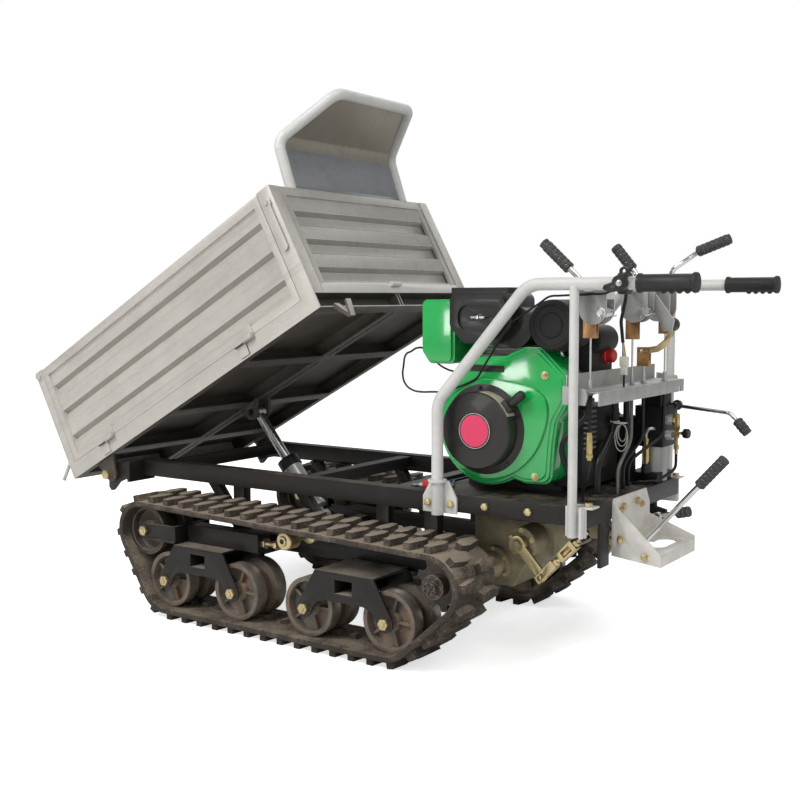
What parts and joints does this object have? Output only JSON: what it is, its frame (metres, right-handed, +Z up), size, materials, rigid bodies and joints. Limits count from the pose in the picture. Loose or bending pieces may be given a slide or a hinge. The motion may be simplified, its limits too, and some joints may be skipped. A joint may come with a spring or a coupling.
{
  "type": "tracked power carrier",
  "caption": "Walk-behind tracked carrier with a hydraulically tipping drop-side load bed, rubber crawler tracks, single-cylinder engine and a lever console between handlebars.",
  "frame": {"origin": "on the ground, under the centre of the bounding box", "axes": "+X towards the operator and the hand grips, -X towards the dump end, +Z up, -Y the side seen in the picture (the left of an operator facing the bed)"},
  "size_m": [2.1326, 0.882, 1.4916],
  "materials": {
    "bed_paint": "satin",
    "chassis_black": "satin",
    "track_rubber": "matte",
    "wheel_iron": "worn",
    "zinc_yellow": "satin",
    "bar_grey": "satin",
    "grip_rubber": "matte",
    "lever_chrome": "polished",
    "galvanised": "satin",
    "clevis_copper": "satin",
    "cable_black": "satin",
    "gear_alloy": "satin",
    "engine_green": "gloss",
    "engine_black": "satin",
    "engine_alloy": "satin",
    "hot_black": "matte"
  },
  "bodies": {
    "chassis": {"track_frame": "chassis_black", "fasteners": "zinc_yellow", "track_left": "track_rubber", "track_right": "track_rubber", "idler_yokes": "chassis_black", "gearbox": "gear_alloy", "belt_guard": "chassis_black", "main_frame": "chassis_black", "handlebar": "bar_grey", "handle_grips": "grip_rubber", "cable_shelf": "galvanised", "shift_gate": "galvanised", "cable_sheaths": "cable_black", "control_valve": "hot_black", "engine_block": "engine_alloy", "fan_shroud": "engine_green", "recoil_starter": "engine_black", "fuel_tank": "engine_green", "air_cleaner": "engine_black", "muffler": "hot_black"},
    "bed": {"bed_frame": "bed_paint", "head_panel": "bed_paint", "head_guard": "bar_grey"},
    "sprocket_left": {"sprocket_left": "wheel_iron"},
    "sprocket_right": {"sprocket_right": "wheel_iron"},
    "idler_left": {"idler_left": "wheel_iron"},
    "idler_right": {"idler_right": "wheel_iron"},
    "roller_left_1": {"roller_left_1": "wheel_iron"},
    "roller_left_2": {"roller_left_2": "wheel_iron"},
    "roller_left_3": {"roller_left_3": "wheel_iron"},
    "roller_left_4": {"roller_left_4": "wheel_iron"},
    "roller_right_1": {"roller_right_1": "wheel_iron"},
    "roller_right_2": {"roller_right_2": "wheel_iron"},
    "roller_right_3": {"roller_right_3": "wheel_iron"},
    "roller_right_4": {"roller_right_4": "wheel_iron"},
    "carrier_roller_left": {"carrier_roller_left": "zinc_yellow"},
    "carrier_roller_right": {"carrier_roller_right": "zinc_yellow"},
    "brake_arm_left": {"brake_arm_left": "zinc_yellow"},
    "brake_arm_right": {"brake_arm_right": "zinc_yellow"},
    "brake_rod_left": {"brake_rod_left": "zinc_yellow"},
    "brake_rod_right": {"brake_rod_right": "zinc_yellow"},
    "steer_lever_left": {"steer_lever_left": "lever_chrome"},
    "steer_lever_right": {"steer_lever_right": "lever_chrome"},
    "clutch_lever": {"clutch_lever": "lever_chrome"},
    "brake_crank": {"brake_crank": "zinc_yellow"},
    "throttle_lever": {"throttle_lever": "engine_black"},
    "shift_lever": {"shift_lever": "lever_chrome"},
    "range_lever": {"range_lever": "lever_chrome"},
    "valve_lever": {"valve_lever": "lever_chrome"},
    "cable_link_1": {"cable_link_1": "clevis_copper"},
    "cable_link_2": {"cable_link_2": "clevis_copper"},
    "cable_link_3": {"cable_link_3": "clevis_copper"},
    "cable_link_4": {"cable_link_4": "clevis_copper"},
    "side_gate_left": {"side_gate_left": "bed_paint"},
    "side_gate_right": {"side_gate_right": "bed_paint"},
    "tailgate": {"tailgate": "bed_paint"},
    "gate_latch_left": {"gate_latch_left": "bed_paint"},
    "gate_latch_right": {"gate_latch_right": "bed_paint"},
    "lift_cylinder": {"lift_cylinder": "chassis_black"},
    "lift_rod": {"lift_rod": "lever_chrome"}
  },
  "joints": [
    {"name": "bed_tip", "type": "hinge", "parent": "chassis", "child": "bed", "pos_m": [-0.745, 0, 0.385], "axis": [0, -1, 0], "range_deg": [-28.5, 0]},
    {"name": "lift_swing", "type": "hinge", "parent": "chassis", "child": "lift_cylinder", "pos_m": [-0.205, 0, 0.255], "axis": [0, -1, 0], "range_deg": [0, 14.2]},
    {"name": "rod_slide", "type": "slide", "parent": "lift_cylinder", "child": "lift_rod", "axis": [-0.6386, 0, 0.7695], "range_m": [-0.146, 0]},
    {"name": "sprocket_left_spin", "type": "hinge", "parent": "chassis", "child": "sprocket_left", "pos_m": [0.47, -0.35, 0.222], "axis": [0, 1, 0], "continuous": true},
    {"name": "idler_left_spin", "type": "hinge", "parent": "chassis", "child": "idler_left", "pos_m": [-0.53, -0.35, 0.246], "axis": [0, 1, 0], "continuous": true},
    {"name": "roller_left_1_spin", "type": "hinge", "parent": "chassis", "child": "roller_left_1", "pos_m": [-0.439, -0.35, 0.112], "axis": [0, 1, 0], "continuous": true},
    {"name": "roller_left_2_spin", "type": "hinge", "parent": "chassis", "child": "roller_left_2", "pos_m": [-0.181, -0.35, 0.112], "axis": [0, 1, 0], "continuous": true},
    {"name": "roller_left_3_spin", "type": "hinge", "parent": "chassis", "child": "roller_left_3", "pos_m": [0.077, -0.35, 0.112], "axis": [0, 1, 0], "continuous": true},
    {"name": "roller_left_4_spin", "type": "hinge", "parent": "chassis", "child": "roller_left_4", "pos_m": [0.335, -0.35, 0.112], "axis": [0, 1, 0], "continuous": true},
    {"name": "sprocket_right_spin", "type": "hinge", "parent": "chassis", "child": "sprocket_right", "pos_m": [0.47, 0.35, 0.222], "axis": [0, 1, 0], "continuous": true},
    {"name": "idler_right_spin", "type": "hinge", "parent": "chassis", "child": "idler_right", "pos_m": [-0.53, 0.35, 0.246], "axis": [0, 1, 0], "continuous": true},
    {"name": "roller_right_1_spin", "type": "hinge", "parent": "chassis", "child": "roller_right_1", "pos_m": [-0.439, 0.35, 0.112], "axis": [0, 1, 0], "continuous": true},
    {"name": "roller_right_2_spin", "type": "hinge", "parent": "chassis", "child": "roller_right_2", "pos_m": [-0.181, 0.35, 0.112], "axis": [0, 1, 0], "continuous": true},
    {"name": "roller_right_3_spin", "type": "hinge", "parent": "chassis", "child": "roller_right_3", "pos_m": [0.077, 0.35, 0.112], "axis": [0, 1, 0], "continuous": true},
    {"name": "roller_right_4_spin", "type": "hinge", "parent": "chassis", "child": "roller_right_4", "pos_m": [0.335, 0.35, 0.112], "axis": [0, 1, 0], "continuous": true},
    {"name": "carrier_left_spin", "type": "hinge", "parent": "chassis", "child": "carrier_roller_left", "pos_m": [0.004, -0.35, 0.27933], "axis": [0, 1, 0], "continuous": true},
    {"name": "carrier_right_spin", "type": "hinge", "parent": "chassis", "child": "carrier_roller_right", "pos_m": [0.004, 0.35, 0.27933], "axis": [0, 1, 0], "continuous": true},
    {"name": "side_gate_left_drop", "type": "hinge", "parent": "bed", "child": "side_gate_left", "pos_m": [-0.91098, -0.386, 0.39729], "axis": [0.8788, 0, 0.4772], "range_deg": [0, 95]},
    {"name": "side_gate_right_drop", "type": "hinge", "parent": "bed", "child": "side_gate_right", "pos_m": [-0.91098, 0.386, 0.39729], "axis": [-0.8788, 0, -0.4772], "range_deg": [0, 95]},
    {"name": "tailgate_swing", "type": "hinge", "parent": "bed", "child": "tailgate", "pos_m": [-1.04469, 0, 0.67289], "axis": [0, 1, 0], "range_deg": [0, 70]},
    {"name": "gate_latch_left_turn", "type": "hinge", "parent": "bed", "child": "gate_latch_left", "pos_m": [-0.07517, -0.382, 1.16743], "axis": [0, -1, 0], "range_deg": [0, 90]},
    {"name": "gate_latch_right_turn", "type": "hinge", "parent": "bed", "child": "gate_latch_right", "pos_m": [-0.07517, 0.382, 1.16743], "axis": [0, -1, 0], "range_deg": [0, 90]},
    {"name": "steer_left_pull", "type": "hinge", "parent": "chassis", "child": "steer_lever_left", "pos_m": [0.83, -0.236, 0.884], "axis": [0, 1, 0], "range_deg": [0, 25], "stiffness_Nm_per_rad": 8, "springref_deg": -11.46},
    {"name": "steer_right_pull", "type": "hinge", "parent": "chassis", "child": "steer_lever_right", "pos_m": [0.83, 0, 0.884], "axis": [0, 1, 0], "range_deg": [0, 25], "stiffness_Nm_per_rad": 8, "springref_deg": -11.46},
    {"name": "clutch_throw", "type": "hinge", "parent": "chassis", "child": "clutch_lever", "pos_m": [0.79, 0.15, 0.884], "axis": [0, -1, 0], "range_deg": [0, 25]},
    {"name": "brake_crank_turn", "type": "hinge", "parent": "chassis", "child": "brake_crank", "pos_m": [0.872, 0.06, 0.85], "axis": [0, 1, 0], "range_deg": [0, 7]},
    {"name": "cable_link_1_pull", "type": "slide", "parent": "chassis", "child": "cable_link_1", "axis": [0, 0, 1], "range_m": [0, 0.0172]},
    {"name": "cable_link_2_pull", "type": "slide", "parent": "chassis", "child": "cable_link_2", "axis": [0, 0, 1], "range_m": [0, 0.0165]},
    {"name": "cable_link_3_pull", "type": "slide", "parent": "chassis", "child": "cable_link_3", "axis": [0, 0, 1], "range_m": [0, 0.0151]},
    {"name": "cable_link_4_pull", "type": "slide", "parent": "chassis", "child": "cable_link_4", "axis": [0, 0, 1], "range_m": [0, 0.0091]},
    {"name": "brake_arm_left_turn", "type": "hinge", "parent": "chassis", "child": "brake_arm_left", "pos_m": [0.585, -0.2, 0.303], "axis": [0, -1, 0], "range_deg": [0, 6.05]},
    {"name": "brake_rod_left_pull", "type": "slide", "parent": "chassis", "child": "brake_rod_left", "axis": [0.6947, 0, 0.7193], "range_m": [0, 0.0105]},
    {"name": "brake_arm_right_turn", "type": "hinge", "parent": "chassis", "child": "brake_arm_right", "pos_m": [0.585, 0.2, 0.303], "axis": [0, -1, 0], "range_deg": [0, 6.05]},
    {"name": "brake_rod_right_pull", "type": "slide", "parent": "chassis", "child": "brake_rod_right", "axis": [0.6947, 0, 0.7193], "range_m": [0, 0.0105]},
    {"name": "throttle_turn", "type": "hinge", "parent": "chassis", "child": "throttle_lever", "pos_m": [0.9, -0.292, 0.95], "axis": [1, 0, 0], "range_deg": [-15, 40]},
    {"name": "shift_throw", "type": "hinge", "parent": "chassis", "child": "shift_lever", "pos_m": [0.83, -0.02, 0.292], "axis": [0, 1, 0], "range_deg": [-10, 10]},
    {"name": "range_throw", "type": "hinge", "parent": "chassis", "child": "range_lever", "pos_m": [0.828, 0.107, 0.352], "axis": [0, 1, 0], "range_deg": [-15, 15]},
    {"name": "valve_throw", "type": "hinge", "parent": "chassis", "child": "valve_lever", "pos_m": [0.812, 0.274, 0.628], "axis": [0, 1, 0], "range_deg": [-12, 12], "stiffness_Nm_per_rad": 8}
  ],
  "couplings": [
    {"joint": "lift_swing", "follows": "bed_tip", "ratio": -0.4954},
    {"joint": "rod_slide", "follows": "bed_tip", "m_per_rad": 0.2925},
    {"joint": "idler_left_spin", "follows": "sprocket_left_spin", "ratio": 0.975},
    {"joint": "roller_left_1_spin", "follows": "sprocket_left_spin", "ratio": 0.9848},
    {"joint": "roller_left_2_spin", "follows": "sprocket_left_spin", "ratio": 0.9848},
    {"joint": "roller_left_3_spin", "follows": "sprocket_left_spin", "ratio": 0.9848},
    {"joint": "roller_left_4_spin", "follows": "sprocket_left_spin", "ratio": 0.9848},
    {"joint": "idler_right_spin", "follows": "sprocket_right_spin", "ratio": 0.975},
    {"joint": "roller_right_1_spin", "follows": "sprocket_right_spin", "ratio": 0.9848},
    {"joint": "roller_right_2_spin", "follows": "sprocket_right_spin", "ratio": 0.9848},
    {"joint": "roller_right_3_spin", "follows": "sprocket_right_spin", "ratio": 0.9848},
    {"joint": "roller_right_4_spin", "follows": "sprocket_right_spin", "ratio": 0.9848},
    {"joint": "carrier_left_spin", "follows": "sprocket_left_spin", "ratio": 3.12},
    {"joint": "carrier_right_spin", "follows": "sprocket_right_spin", "ratio": 3.12},
    {"joint": "cable_link_1_pull", "follows": "steer_left_pull", "m_per_rad": 0.0391},
    {"joint": "cable_link_2_pull", "follows": "steer_right_pull", "m_per_rad": 0.0377},
    {"joint": "cable_link_3_pull", "follows": "clutch_throw", "m_per_rad": 0.0344},
    {"joint": "cable_link_4_pull", "follows": "brake_crank_turn", "m_per_rad": 0.074},
    {"joint": "brake_arm_left_turn", "follows": "steer_left_pull", "ratio": 0.24},
    {"joint": "brake_rod_left_pull", "follows": "steer_left_pull", "m_per_rad": 0.0239},
    {"joint": "brake_arm_right_turn", "follows": "steer_right_pull", "ratio": 0.24},
    {"joint": "brake_rod_right_pull", "follows": "steer_right_pull", "m_per_rad": 0.0239}
  ]
}
